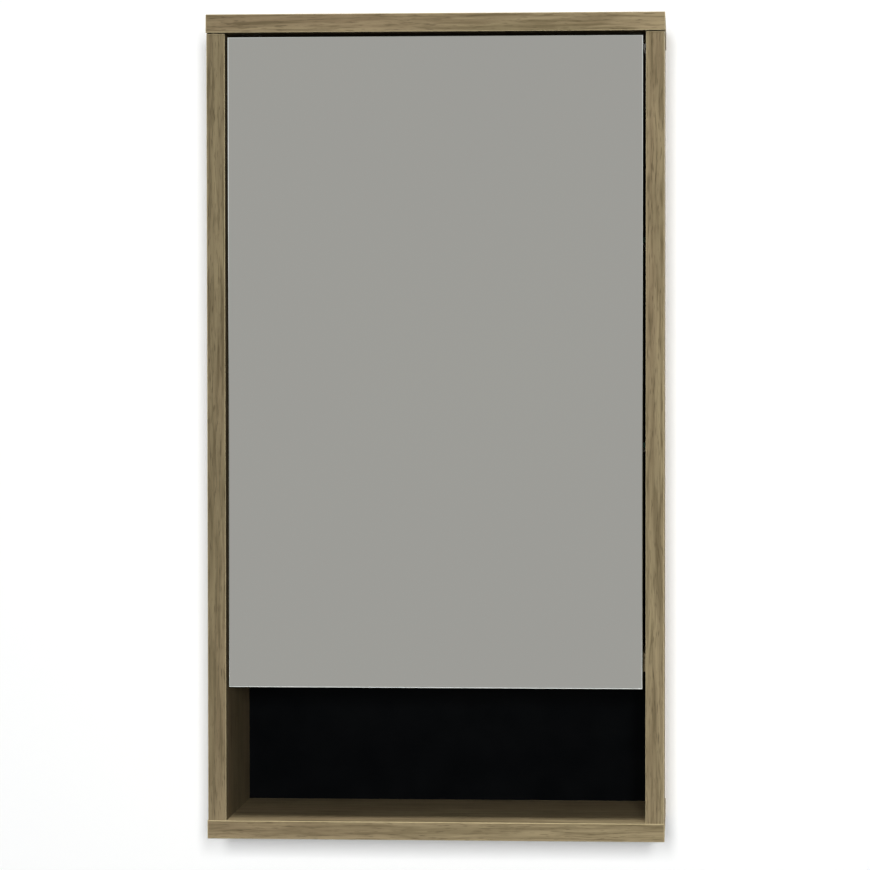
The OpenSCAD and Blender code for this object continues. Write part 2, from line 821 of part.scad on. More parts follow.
// A mounting plate: two wings on the side panel and a rail that carries the arm
module hinge_plate(z) {
    color("silver") at_hinge(z) difference() {
        union() {
            block([0, plate_y - wing_w / 2, -plate_l / 2], [plate_base_t, plate_y + wing_w / 2, plate_l / 2]);
            block([0, channel_y0 + rail_inset, -rail_z], [rail_h, channel_y1 - rail_inset, rail_z]);
        }
        for (s = [-plate_screw_span / 2, plate_screw_span / 2])
            rod_x([-cut, plate_y, s], plate_screw_d / 2 + joint_clear, plate_base_t + 2 * cut);
        for (y = arm_screw_ys)
            rod_x([rail_h - arm_screw_l - joint_clear, y, 0], arm_screw_d / 2 + joint_clear,
                  arm_screw_l + joint_clear + cut);
    }
}

// The pins that the links turn on, held in the arms
module arm_pins() {
    color("silver") for (z = hinge_zs) at_hinge(z) {
        both_sides() boss(pin_a, pin_r, arm_z0, outer_z1);
        boss(pin_b, pin_r, -arm_z1, arm_z1);
    }
}

// The pins that the links turn on, held in the cups
module cup_pins() {
    color("silver") for (z = hinge_zs) at_hinge(z) {
        both_sides() boss(pin_c, pin_r, outer_z0, cheek_z + pin_hold - seat_clear);
        boss(pin_d, pin_r, -inner_z1, inner_z1);
    }
}

// A screw along +X, its head standing on the plane x = 0 and its shank running to -X
module pan_screw(r, l, head_r, head_h) {
    difference() {
        union() {
            rod_x([-l, 0, 0], r, l);
            rod_x([0, 0, 0], head_r, head_h);
        }
        for (a = [0, 90]) rotate([a, 0, 0])
            block([head_h / 2, -head_r / 2, -slot_w / 2], [head_h + cut, head_r / 2, slot_w / 2]);
    }
}

module hinge_plate_screws() {
    color("silver") for (z = hinge_zs, s = [-plate_screw_span / 2, plate_screw_span / 2])
        at_hinge(z) translate([plate_base_t, plate_y, s])
            pan_screw(plate_screw_d / 2, plate_base_t + plate_screw_l, plate_screw_d / 2 + 1.5, 1.8);
}

module hinge_arm_screws() {
    color("silver") for (z = hinge_zs, y = arm_screw_ys)
        at_hinge(z) translate([rail_h + web_t, y, 0])
            pan_screw(arm_screw_d / 2, web_t + arm_screw_l, arm_screw_d / 2 + 1.4, 2);
}

module hinge_cup_screws() {
    color("silver") for (z = hinge_zs, s = [-cup_screw_span / 2, cup_screw_span / 2])
        at_hinge(z) translate([wing_x, door_t + flange_t, s]) rotate([0, 0, 90])
            pan_screw(cup_screw_d / 2, flange_t + cup_screw_l, cup_screw_d / 2 + 1.5, 1.6);
}

module upper_hinge_cup() { hinge_cup(hinge_zs[1]); }

module lower_hinge_cup() { hinge_cup(hinge_zs[0]); }

module upper_hinge_arm() { hinge_arm(hinge_zs[1]); }

module lower_hinge_arm() { hinge_arm(hinge_zs[0]); }

module upper_hinge_plate() { hinge_plate(hinge_zs[1]); }

module lower_hinge_plate() { hinge_plate(hinge_zs[0]); }

module upper_outer_link() { outer_link(hinge_zs[1]); }

module lower_outer_link() { outer_link(hinge_zs[0]); }

module upper_inner_link() { inner_link(hinge_zs[1]); }

module lower_inner_link() { inner_link(hinge_zs[0]); }

top_panel();
bottom_panel();
left_side_panel();
right_side_panel();
fixed_shelf();
back_panel();
top_edging();
bottom_edging();
left_edging();
right_edging();
shelf_edging();
door_board();
door_edging();
mirror_glass();
upper_glass_shelf();
lower_glass_shelf();
upper_shelf_pins();
lower_shelf_pins();
door_bumpers();
carcass_dowels();
carcass_screws();
screw_caps();
upper_hinge_cup();
lower_hinge_cup();
upper_hinge_arm();
lower_hinge_arm();
upper_hinge_plate();
lower_hinge_plate();
upper_outer_link();
lower_outer_link();
upper_inner_link();
lower_inner_link();
arm_pins();
cup_pins();
hinge_cup_screws();
hinge_plate_screws();
hinge_arm_screws();
left_hanger_body();
right_hanger_body();
left_hanger_hook();
right_hanger_hook();
left_hanger_cover();
right_hanger_cover();
hanger_adjusters();
left_wall_plate();
right_wall_plate();
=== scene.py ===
import json
import math
import bpy
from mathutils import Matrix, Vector


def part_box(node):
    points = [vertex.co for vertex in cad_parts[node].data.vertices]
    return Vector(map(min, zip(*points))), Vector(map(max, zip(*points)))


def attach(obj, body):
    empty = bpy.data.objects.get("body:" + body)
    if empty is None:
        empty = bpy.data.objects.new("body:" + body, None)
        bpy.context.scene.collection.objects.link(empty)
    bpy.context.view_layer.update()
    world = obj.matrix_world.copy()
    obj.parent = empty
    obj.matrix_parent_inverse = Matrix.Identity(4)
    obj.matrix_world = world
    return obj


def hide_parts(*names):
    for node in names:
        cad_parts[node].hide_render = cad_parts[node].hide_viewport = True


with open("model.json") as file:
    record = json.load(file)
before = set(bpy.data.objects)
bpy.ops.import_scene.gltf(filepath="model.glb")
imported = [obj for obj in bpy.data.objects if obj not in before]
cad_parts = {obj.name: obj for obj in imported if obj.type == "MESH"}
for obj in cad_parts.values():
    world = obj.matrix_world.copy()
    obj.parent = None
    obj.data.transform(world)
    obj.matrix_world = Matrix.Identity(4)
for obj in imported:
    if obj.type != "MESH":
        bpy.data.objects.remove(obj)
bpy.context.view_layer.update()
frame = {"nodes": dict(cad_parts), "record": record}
bodies = {node: body for body, members in frame["record"]["behaviour"]["bodies"].items() for node in members}

mm = 0.001
hair = 0.01 * mm  # two places closer than this are one place
squareOn = 0.999  # a face looks straight along an axis when its normal reaches this far along it
smoothTurn = 30  # faces that meet at less than this shade as one surface, in degrees
easedTurn = 35  # easeAll rounds the edges whose faces meet at more than this, in degrees
joined = {"corners": 0.002, "faces": 0.5}  # corners this near in mm, and faces this near in degrees, become one

# the six sides of a box: its axis, and its lower or upper end
leftFace, rightFace, frontFace, rearFace, underside, upperSide = (0, 0), (0, 1), (1, 0), (1, 1), (2, 0), (2, 1)


def linearColour(code):
    channels = [int(code[i:i + 2], 16) / 255 for i in (1, 3, 5)]
    return tuple(c / 12.92 if c <= 0.04045 else ((c + 0.055) / 1.055) ** 2.4 for c in channels) + (1.0,)


def addNode(tree, kind, settings=None, links=None):
    # a setting is a property, the value of a socket, or the stops of a ramp; a link feeds a socket
    node = tree.nodes.new(kind)
    for key, value in (settings or {}).items():
        if key == "stops":
            points = node.color_ramp.elements
            points[0].position, points[-1].position = value[0][0], value[-1][0]
            for place, code in value[1:-1]:
                points.new(place)
            for point, (place, code) in zip(points, value):
                point.color = linearColour(code)
        elif isinstance(key, str) and hasattr(node, key):
            setattr(node, key, value)
        else:
            node.inputs[key].default_value = value
    for key, source in (links or {}).items():
        tree.links.new(source, node.inputs[key])
    return node


def newMaterial(name, settings=None):
    material = bpy.data.materials.new(name)
    material.use_nodes = True
    tree = material.node_tree
    shader = tree.nodes["Principled BSDF"]
    for key, value in (settings or {}).items():
        shader.inputs[key].default_value = value
    return material, tree, shader


def pickOnly(*pieces):
    if bpy.context.object and bpy.context.object.mode == "EDIT":
        bpy.ops.object.mode_set(mode="OBJECT")
    bpy.ops.object.select_all(action="DESELECT")
    for piece in pieces:
        piece.select_set(True)
    bpy.context.view_layer.objects.active = pieces[-1]


def pickEdges(piece, wanted):
    # leaves the piece in edit mode, with those of its sharp edges selected whose ends satisfy wanted(a, b)
    pickOnly(piece)
    bpy.ops.object.mode_set(mode="EDIT")
    bpy.ops.mesh.select_mode(type="EDGE")
    bpy.ops.mesh.select_all(action="DESELECT")
    bpy.ops.mesh.edges_select_sharp(sharpness=math.radians(smoothTurn))
    bpy.ops.object.mode_set(mode="OBJECT")
    mesh = piece.data
    sharp = [edge.index for edge in mesh.edges if edge.select]
    bpy.ops.object.mode_set(mode="EDIT")
    bpy.ops.mesh.select_all(action="DESELECT")
    bpy.ops.object.mode_set(mode="OBJECT")
    for index in sharp:
        a, b = (mesh.vertices[i].co for i in mesh.edges[index].vertices)
        mesh.edges[index].select = wanted(a, b)
    bpy.ops.object.mode_set(mode="EDIT")


def pickFaces(piece, wanted):
    # leaves the piece in edit mode, with the faces selected that satisfy wanted(face)
    pickOnly(piece)
    bpy.ops.object.mode_set(mode="EDIT")
    bpy.ops.mesh.select_mode(type="FACE")
    bpy.ops.mesh.select_all(action="DESELECT")
    bpy.ops.object.mode_set(mode="OBJECT")
    for face in piece.data.polygons:
        face.select = wanted(face)
    bpy.ops.object.mode_set(mode="EDIT")


def smooth(piece):
    pickOnly(piece)
    bpy.ops.object.shade_smooth_by_angle(angle=math.radians(smoothTurn))


def roundEdges(piece, wanted, radius, steps):
    # rounds the sharp edges whose ends satisfy wanted(a, b); the radius is in mm
    pickEdges(piece, wanted)
    bpy.ops.mesh.bevel(offset=radius * mm, offset_type="OFFSET", segments=steps, profile=0.5, affect="EDGES")
    smooth(piece)


def easeAll(piece, radius, steps):
    # takes the sharpness off every edge of a piece; the radius is in mm
    pickOnly(piece)
    bevel = piece.modifiers.new("ease", "BEVEL")
    bevel.width, bevel.segments = radius * mm, steps
    bevel.limit_method, bevel.angle_limit = "ANGLE", math.radians(easedTurn)
    bpy.ops.object.modifier_apply(modifier=bevel.name)
    smooth(piece)


def along(axis):
    # tells whether an edge runs along an axis
    others = [k for k in range(3) if k != axis]
    return lambda a, b: all(abs(a[k] - b[k]) < hair for k in others)


def onSides(box, spared):
    # tells whether an edge is one of a box's own twelve, and touches none of the spared sides
    def wanted(a, b):
        sides = [(axis, end) for axis in range(3) for end in (0, 1)
                 if abs(a[axis] - box[end][axis]) < hair and abs(b[axis] - box[end][axis]) < hair]
        return len(sides) == 2 and not any(side in spared for side in sides)
    return wanted


def atEnds(box):
    # tells whether an edge runs front to back at the upper or lower end of a box
    return lambda a, b: along(1)(a, b) and min(abs(a.z - end.z) for end in box) < hair


def lowerTop(piece, drop):
    # shortens a piece at its upper end, which leaves an open joint there
    top = max(v.co.z for v in piece.data.vertices)
    pickFaces(piece, lambda face: face.center.z > top - mm)
    bpy.ops.transform.translate(value=(0, 0, -drop * mm))
    bpy.ops.object.mode_set(mode="OBJECT")


def paint(piece, finish, *others):
    # others are pairs of a material and a test that picks its faces
    piece.data.materials.clear()
    for material in (finish, *(material for material, wanted in others)):
        piece.data.materials.append(material)
    for face in piece.data.polygons:
        face.material_index = next((k for k, (material, wanted) in enumerate(others, 1) if wanted(face)), 0)


def pieceName(node):
    # upper_hinge_cup becomes upperHingeCup
    first, *others = node.split("_")
    return first + "".join(word.capitalize() for word in others)


def freshCopy(node):
    # a copy of a CAD node with its loose triangles joined into whole faces
    pickOnly(frame["nodes"][node])
    bpy.ops.object.duplicate()
    piece = bpy.context.object
    piece.name = piece.data.name = pieceName(node)
    piece.parent = None
    for key in [key for key in piece.keys() if key.startswith("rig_")]:
        del piece[key]
    pickOnly(piece)
    bpy.ops.object.mode_set(mode="EDIT")
    bpy.ops.mesh.select_all(action="SELECT")
    bpy.ops.mesh.remove_doubles(threshold=joined["corners"] * mm)
    bpy.ops.mesh.dissolve_limited(angle_limit=math.radians(joined["faces"]))
    bpy.ops.object.mode_set(mode="OBJECT")
    return piece


def freshBlock(node):
    # a cube brought to the box of a CAD node
    low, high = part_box(node)
    bpy.ops.object.select_all(action="DESELECT")
    bpy.ops.mesh.primitive_cube_add(size=1, location=(low + high) / 2, scale=high - low)
    piece = bpy.context.object
    piece.name = piece.data.name = pieceName(node)
    bpy.ops.object.transform_apply(location=True, rotation=True, scale=True)
    return piece


def finishPiece(piece, node):
    # large faces are shaded flat between their eased edges, and the piece takes its node's place and body
    pickOnly(piece)
    weighted = piece.modifiers.new("flatFaces", "WEIGHTED_NORMAL")
    weighted.keep_sharp = True
    bpy.ops.object.modifier_apply(modifier=weighted.name)
    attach(piece, bodies[node])
    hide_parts(node)


# the photograph's camera stands to the right of the middle, and its frame is shifted left to match
view = {"place": (0.2162, -2.5541, -0.2417), "turn": 2.84, "pitch": -1.174, "lens": 114.76, "sensor": 36,
        "shift": -0.1276, "near": 0.05, "far": 60}
cameraData = bpy.data.cameras.new("photoCamera")
camera = bpy.data.objects.new("photoCamera", cameraData)
bpy.context.scene.collection.objects.link(camera)
bpy.context.scene.camera = camera
turn, pitch = math.radians(view["turn"]), math.radians(view["pitch"])
sight = Vector((-math.cos(pitch) * math.sin(turn), math.cos(pitch) * math.cos(turn), math.sin(pitch)))
camera.location = view["place"]
camera.rotation_mode = "QUATERNION"
camera.rotation_quaternion = sight.to_track_quat("-Z", "Y")
cameraData.sensor_width = view["sensor"]
cameraData.lens = view["lens"]
cameraData.shift_x = view["shift"]
cameraData.clip_start, cameraData.clip_end = view["near"], view["far"]
bpy.context.scene.view_settings.view_transform = "Standard"
print("camera placed")

# the room, as gloss and glass see it: mid grey straight ahead, and round about a pale floor, a dark band
# under eye level, pale upper walls and a grey ceiling; the camera sees white, and matt surfaces get a plain fill
room = {"fill": 0.1, "ahead": "#a6a5a2", "aheadFrom": -0.86, "aheadTo": -0.94, "lean": -0.026,
        "heights": [(0.0, "#d6d6d3"), (0.33, "#d6d6d3"), (0.44, "#4c4c49"), (0.518, "#5c5c58"),
                    (0.535, "#f4f5f5"), (0.64, "#eeefef"), (0.78, "#a4a4a1"), (1.0, "#868683")]}
world = bpy.data.worlds.new("studio")
bpy.context.scene.world = world
world.use_nodes = True
tree = world.node_tree
tree.nodes.clear()
rays = addNode(tree, "ShaderNodeLightPath")
direction = addNode(tree, "ShaderNodeTexCoord")
compass = addNode(tree, "ShaderNodeSeparateXYZ", {}, {"Vector": direction.outputs["Generated"]})
leaning = addNode(tree, "ShaderNodeMath", {"operation": "MULTIPLY_ADD", 1: room["lean"]},
                  {0: compass.outputs["X"], 2: compass.outputs["Z"]})
height = addNode(tree, "ShaderNodeMapRange", {"From Min": -1.0, "From Max": 1.0}, {"Value": leaning.outputs[0]})
walls = addNode(tree, "ShaderNodeValToRGB", {"stops": room["heights"]}, {"Fac": height.outputs["Result"]})
ahead = addNode(tree, "ShaderNodeMapRange", {"interpolation_type": "SMOOTHSTEP", "From Min": room["aheadFrom"],
                                             "From Max": room["aheadTo"]}, {"Value": compass.outputs["Y"]})
around = addNode(tree, "ShaderNodeMix", {"data_type": "RGBA", 7: linearColour(room["ahead"])},
                 {0: ahead.outputs["Result"], 6: walls.outputs["Color"]})
mirrored = addNode(tree, "ShaderNodeBackground", {"Strength": 1.0}, {"Color": around.outputs[2]})
plain = addNode(tree, "ShaderNodeBackground", {"Color": linearColour("#ffffff"), "Strength": room["fill"]})
white = addNode(tree, "ShaderNodeBackground", {"Color": linearColour("#ffffff"), "Strength": 1.0})
shiny = addNode(tree, "ShaderNodeMath", {"operation": "MAXIMUM"},
                {0: rays.outputs["Is Glossy Ray"], 1: rays.outputs["Is Transmission Ray"]})
lit = addNode(tree, "ShaderNodeMixShader", {}, {0: shiny.outputs[0], 1: plain.outputs[0], 2: mirrored.outputs[0]})
seen = addNode(tree, "ShaderNodeMixShader", {},
               {0: rays.outputs["Is Camera Ray"], 1: lit.outputs[0], 2: white.outputs[0]})
addNode(tree, "ShaderNodeOutputWorld", {}, {"Surface": seen.outputs[0]})

# two upright softboxes in front set how far the shadow reaches past either side of the cabinet, and one lamp
# high in front reaches in under the door. The left, right and back lamps stand behind the wall plane, so they
# leave the wall alone. The metal lamp is a broad softbox, and further down it is linked to the metal pieces.
# Places and sizes are in metres
lampAim = (0, -0.075, -0.285)
lamps = {"keyLeft": {"place": (0.02, -4.0, 0.13), "width": 0.26, "height": 0.66, "watts": 75},
         "keyRight": {"place": (0.595, -4.0, 0.13), "width": 0.26, "height": 0.66, "watts": 75},
         "overhead": {"place": (0.1, -1.07, 4.2), "width": 0.8, "height": 0.8, "watts": 245},
         "left": {"place": (-2.2, 0.45, -0.1), "width": 1.2, "height": 1.2, "watts": 46},
         "right": {"place": (2.2, 0.45, -0.1), "width": 1.2, "height": 1.2, "watts": 46},
         "back": {"place": (0.3, 2.6, 0.3), "width": 1.2, "height": 1.2, "watts": 55},
         "metal": {"place": (1.3, -2.3, 0.7), "width": 2.0, "height": 2.0, "watts": 85}}
lights = {}
for name, lamp in lamps.items():
    data = bpy.data.lights.new(name + "Lamp", "AREA")
    data.shape, data.size, data.size_y = "RECTANGLE", lamp["width"], lamp["height"]
    data.energy = lamp["watts"]
    light = bpy.data.objects.new(name + "Lamp", data)
    bpy.context.scene.collection.objects.link(light)
    light.location = lamp["place"]
    light.rotation_mode = "QUATERNION"
    light.rotation_quaternion = (Vector(lampAim) - Vector(lamp["place"])).to_track_quat("-Z", "Y")
    light.visible_camera = False
    light.visible_glossy = name == "metal"  # the mirror would show the others as bright squares
    lights[name] = light

# white paper behind the cabinet and grey paper under it. Both are there for the camera and through glass, the
# floor in gloss too, and all other light passes them. A glow lifts them towards white, and gloss sees only a
# little of it. They fade out at their rims, and their far sides are clear. Places and sizes are in metres
stage = {"rim": (0.42, 0.24), "mirroredGlow": 0.07,
         "wall": {"place": (0, 0.001, -0.2), "turned": (90, 0, 0), "size": 2.4,
                  "paper": "#f4f5f5", "glow": 0.12, "inGloss": 0.0},
         "floor": {"place": (0, -0.4, -0.945), "turned": (0, 0, 0), "size": 4.4,
                   "paper": "#b0b1b2", "glow": 0.56, "inGloss": 1.0}}


def addStage(name):
    values = stage[name]
    material, tree, shader = newMaterial(name + "Paper")
    rays = addNode(tree, "ShaderNodeLightPath")
    face = addNode(tree, "ShaderNodeNewGeometry")
    spot = addNode(tree, "ShaderNodeUVMap", {"uv_map": "UVMap"})
    spread = addNode(tree, "ShaderNodeVectorMath", {"operation": "DISTANCE", 1: (0.5, 0.5, 0)},
                     {0: spot.outputs[0]})
    rim = addNode(tree, "ShaderNodeMapRange", {"interpolation_type": "SMOOTHSTEP", "From Min": stage["rim"][0],
                                               "From Max": stage["rim"][1]}, {"Value": spread.outputs["Value"]})
    gloss = addNode(tree, "ShaderNodeMath", {"operation": "MULTIPLY", 1: values["inGloss"]},
                    {0: rays.outputs["Is Glossy Ray"]})
    shown = addNode(tree, "ShaderNodeMath", {"operation": "MAXIMUM"},
                    {0: rays.outputs["Is Camera Ray"], 1: gloss.outputs[0]})
    shown = addNode(tree, "ShaderNodeMath", {"operation": "MAXIMUM"},
                    {0: shown.outputs[0], 1: rays.outputs["Is Transmission Ray"]})
    front = addNode(tree, "ShaderNodeMath", {"operation": "SUBTRACT", 0: 1.0}, {1: face.outputs["Backfacing"]})
    shown = addNode(tree, "ShaderNodeMath", {"operation": "MULTIPLY"}, {0: shown.outputs[0], 1: front.outputs[0]})
    shown = addNode(tree, "ShaderNodeMath", {"operation": "MULTIPLY"},
                    {0: shown.outputs[0], 1: rim.outputs["Result"]})
    matt = addNode(tree, "ShaderNodeBsdfDiffuse", {"Color": linearColour(values["paper"])})
    glowing = addNode(tree, "ShaderNodeMapRange", {"To Min": values["glow"] * stage["mirroredGlow"],
                                                   "To Max": values["glow"]},
                      {"Value": rays.outputs["Is Camera Ray"]})
    glow = addNode(tree, "ShaderNodeEmission", {}, {"Strength": glowing.outputs["Result"]})
    lifted = addNode(tree, "ShaderNodeAddShader", {}, {0: matt.outputs[0], 1: glow.outputs[0]})
    clear = addNode(tree, "ShaderNodeBsdfTransparent")
    mixed = addNode(tree, "ShaderNodeMixShader", {},
                    {0: shown.outputs[0], 1: clear.outputs[0], 2: lifted.outputs[0]})
    tree.links.new(mixed.outputs[0], tree.nodes["Material Output"].inputs["Surface"])
    tree.nodes.remove(shader)
    bpy.ops.object.select_all(action="DESELECT")
    bpy.ops.mesh.primitive_plane_add(size=values["size"], location=values["place"],
                                     rotation=[math.radians(angle) for angle in values["turned"]])
    sheet = bpy.context.object
    sheet.name = name
    paint(sheet, material)
    return sheet


wall = addStage("wall")
addStage("floor")
# the overhead lamp leaves the wall out, which would else get a second, longer shadow
overheadSpares = bpy.data.collections.new("overheadSpares")
overheadSpares.objects.link(wall)
overheadSpares.collection_objects[0].light_linking.link_state = "EXCLUDE"
lights["overhead"].light_linking.receiver_collection = overheadSpares
# the metal lamp lights only the steel of the hinges, pins, screws and hangers, which needs something bright to
# show in its plating; the pieces join this collection as they are made
metalPieces = bpy.data.collections.new("metalPieces")
lights["metal"].light_linking.receiver_collection = metalPieces
print("stage and lamps set")

# oak-look melamine: a printed paper pressed under satin resin, so its grain is colour first and only
# a hint of relief
oak = {"light": "#8e8163", "mid": "#7a6e54", "dark": "#584d36", "warm": "#857059", "pore": "#433825",
       # each pattern's length along the grain and width across it in mm, its place in the noise, and the
       # noise's detail, roughness and distortion
       "patterns": {"figure": (620, 34, 0, 2.0, 0.45, 0.2), "tint": (260, 30, 2, 2.0, 0.5, 0.0),
                    "streaks": (60, 2.3, 4, 4.0, 0.6, 0.5), "pores": (11, 0.85, 9, 1.0, 0.5, 0.0)},
       "wander": (46, 3.2),  # how far apart the grain's bends are and how far they reach, in mm
       "rings": 46, "ringMiddle": (0.3, 0.75), "ringFade": 0.55,
       # over the rings: a pattern, where it begins to show and where it is full, how strong, and in which colour
       "layers": {"tint": ("tint", 0.38, 0.66, 0.35, "warm"),
                  "darkStreaks": ("streaks", 0.5, 0.36, 0.75, "dark"),
                  "lightStreaks": ("streaks", 0.52, 0.68, 0.5, "light"),
                  "pores": ("pores", 0.4, 0.3, 0.6, "pore")},
       # this slope is painted light: the print grows lighter to the right and darker upwards across the cabinet,
       # as light from the lower right would make it
       "drift": (0.5, 0, -0.2),  # the share of its tone that a board gains per metre to the right, back and up
       "poreHollow": -1.4, "streakHollow": -0.5, "relief": 0.05, "bump": 0.35, "gloss": (0.46, 0.62),
       "seedSteps": (3.1, 1.7, 2.3),  # how far the noise moves from one print to the next
       "endGrain": 0.7}  # a face is the end of a board when its normal reaches this far along the grain


def oakPrint(name, grainAxis, seed, tone):
    material, tree, shader = newMaterial(name, {"IOR": 1.5, "Specular IOR Level": 0.4})
    spot = addNode(tree, "ShaderNodeTexCoord")
    facing = addNode(tree, "ShaderNodeSeparateXYZ", {}, {"Vector": spot.outputs["Normal"]})
    facing = addNode(tree, "ShaderNodeMath", {"operation": "ABSOLUTE"}, {0: facing.outputs[grainAxis]})
    ends = addNode(tree, "ShaderNodeMath", {"operation": "GREATER_THAN", 1: oak["endGrain"]},
                   {0: facing.outputs[0]})
    wander = addNode(tree, "ShaderNodeTexNoise", {"Scale": 1 / (oak["wander"][0] * mm), "Detail": 1.0},
                     {"Vector": spot.outputs["Object"]})
    bent = addNode(tree, "ShaderNodeVectorMath", {"operation": "MULTIPLY_ADD", 1: [oak["wander"][1] * mm] * 3},
                   {0: wander.outputs["Color"], 2: spot.outputs["Object"]})
    patterns = {}
    for key, (length, width, shift, detail, roughness, distortion) in oak["patterns"].items():
        origin = [seed * step + way * shift for step, way in zip(oak["seedSteps"], (1, -1, 0))]
        maps = []
        for axis in (grainAxis, 1):  # on the ends of a board the grain runs front to back
            scale = [1 / (width * mm)] * 3
            scale[axis] = 1 / (length * mm)
            maps.append(addNode(tree, "ShaderNodeMapping", {"Scale": scale, "Location": origin},
                                {"Vector": bent.outputs[0]}))
        squeezed = addNode(tree, "ShaderNodeMix", {"data_type": "VECTOR"},
                           {0: ends.outputs[0], 4: maps[0].outputs[0], 5: maps[1].outputs[0]})
        noise = addNode(tree, "ShaderNodeTexNoise", {"Scale": 1.0, "Detail": detail, "Roughness": roughness,
                                                     "Distortion": distortion}, {"Vector": squeezed.outputs[1]})
        patterns[key] = noise.outputs["Fac"]

    rings = addNode(tree, "ShaderNodeMath", {"operation": "MULTIPLY", 1: oak["rings"]}, {0: patterns["figure"]})
    rings = addNode(tree, "ShaderNodeMath", {"operation": "SINE"}, {0: rings.outputs[0]})
    rings = addNode(tree, "ShaderNodeMapRange", {"From Min": -1.0, "From Max": 1.0}, {"Value": rings.outputs[0]})
    stops = [(0.0, oak["dark"]), *((place, oak["mid"]) for place in oak["ringMiddle"]), (1.0, oak["light"])]
    colour = addNode(tree, "ShaderNodeValToRGB", {"stops": stops}, {"Fac": rings.outputs["Result"]})
    body = addNode(tree, "ShaderNodeMix", {"data_type": "RGBA", 0: oak["ringFade"], 7: linearColour(oak["mid"])},
                   {6: colour.outputs["Color"]}).outputs[2]
    masks = {}
    for key, (pattern, begins, full, strength, tint) in oak["layers"].items():
        mask = addNode(tree, "ShaderNodeMapRange", {"From Min": begins, "From Max": full, "To Max": strength},
                       {"Value": patterns[pattern]})
        masks[key] = mask.outputs["Result"]
        body = addNode(tree, "ShaderNodeMix", {"data_type": "RGBA", 7: linearColour(oak[tint])},
                       {0: masks[key], 6: body}).outputs[2]
    # painted light: the print's colour is scaled by its place, lighter to the right and darker upwards, and by
    # the print's tone
    drift = addNode(tree, "ShaderNodeVectorMath", {"operation": "DOT_PRODUCT", 1: oak["drift"]},
                    {0: spot.outputs["Object"]})
    paintedLightLevel = addNode(tree, "ShaderNodeMath", {"operation": "MULTIPLY_ADD", 1: tone, 2: tone},
                    {0: drift.outputs["Value"]})
    body = addNode(tree, "ShaderNodeVectorMath", {"operation": "SCALE"}, {0: body, "Scale": paintedLightLevel.outputs[0]})
    tree.links.new(body.outputs[0], shader.inputs["Base Color"])
    hollows = addNode(tree, "ShaderNodeMath", {"operation": "MULTIPLY_ADD", 1: oak["poreHollow"], 2: 1.0},
                      {0: masks["pores"]})
    hollows = addNode(tree, "ShaderNodeMath", {"operation": "MULTIPLY_ADD", 1: oak["streakHollow"]},
                      {0: masks["darkStreaks"], 2: hollows.outputs[0]})
    bump = addNode(tree, "ShaderNodeBump", {"Strength": oak["bump"], "Distance": oak["relief"] * mm},
                   {"Height": hollows.outputs[0]})
    tree.links.new(bump.outputs["Normal"], shader.inputs["Normal"])
    gloss = addNode(tree, "ShaderNodeMapRange", {"To Min": oak["gloss"][0], "To Max": oak["gloss"][1]},
                    {"Value": patterns["streaks"]})
    tree.links.new(gloss.outputs["Result"], shader.inputs["Roughness"])
    return material


# the last number is each print's tone: the upright print is 13% darker, a painted shade for the weaker sheen that
# upright grain catches from these lamps
oakAcross = oakPrint("oakMelamineAcross", 0, 1, 1.0)
oakUpright = oakPrint("oakMelamineUpright", 2, 2, 0.87)
print("oak ready")

# raw chipboard, where a board's rear edge has no edging: pressed flakes, pale with dark chips. A flake's
# width, depth and height are in mm
chips = {"flake": (2.6, 1.5, 0.9), "relief": 0.12, "bump": 0.5,
         "stops": [(0.0, "#917655"), (0.35, "#aa9070"), (0.7, "#b9a283"), (1.0, "#c8b597")]}
chipboard, tree, shader = newMaterial("rawChipboard", {"Roughness": 0.85, "Specular IOR Level": 0.2})
spot = addNode(tree, "ShaderNodeTexCoord")
pressed = addNode(tree, "ShaderNodeMapping", {"Scale": [1 / (size * mm) for size in chips["flake"]]},
                  {"Vector": spot.outputs["Object"]})
flakes = addNode(tree, "ShaderNodeTexVoronoi", {"Scale": 1.0}, {"Vector": pressed.outputs[0]})
flakes = addNode(tree, "ShaderNodeSeparateColor", {}, {"Color": flakes.outputs["Color"]})
shade = addNode(tree, "ShaderNodeValToRGB", {"stops": chips["stops"]}, {"Fac": flakes.outputs[0]})
tree.links.new(shade.outputs["Color"], shader.inputs["Base Color"])
bump = addNode(tree, "ShaderNodeBump", {"Strength": chips["bump"], "Distance": chips["relief"] * mm},
               {"Height": flakes.outputs[0]})
tree.links.new(bump.outputs["Normal"], shader.inputs["Normal"])

# rear of the hardboard: brown pressed fibre with the print of the wire screen it was pressed on,
# which is 1.2 mm apart on the real board and drawn at 3 mm so that it shows
fibre = {"screen": 3.0, "fluff": 0.9, "mottle": 45.45, "dark": "#664a33", "light": "#8a6b4c",
         "mottleShare": 0.45, "screenShare": -0.35, "darkest": 0.3, "lightest": 0.95, "relief": 0.15, "bump": 0.5}
waveLength = 0.314  # of one band of the wave texture at scale 1, in metres
hardboard, tree, shader = newMaterial("rawHardboard", {"Roughness": 0.8, "Specular IOR Level": 0.25})
spot = addNode(tree, "ShaderNodeTexCoord")
bands = []
for direction in ("X", "Z"):
    wave = addNode(tree, "ShaderNodeTexWave", {"bands_direction": direction,
                                               "Scale": waveLength / (fibre["screen"] * mm)},
                   {"Vector": spot.outputs["Object"]})
    bands.append(wave.outputs["Fac"])
screen = addNode(tree, "ShaderNodeMath", {"operation": "MULTIPLY"}, {0: bands[0], 1: bands[1]})
fluff = addNode(tree, "ShaderNodeTexNoise", {"Scale": 1 / (fibre["fluff"] * mm), "Detail": 4.0},
                {"Vector": spot.outputs["Object"]})
mottle = addNode(tree, "ShaderNodeTexNoise", {"Scale": 1 / (fibre["mottle"] * mm), "Detail": 3.0},
                 {"Vector": spot.outputs["Object"]})
tone = addNode(tree, "ShaderNodeMath", {"operation": "MULTIPLY_ADD", 1: fibre["mottleShare"]},
               {0: mottle.outputs["Fac"], 2: fluff.outputs["Fac"]})
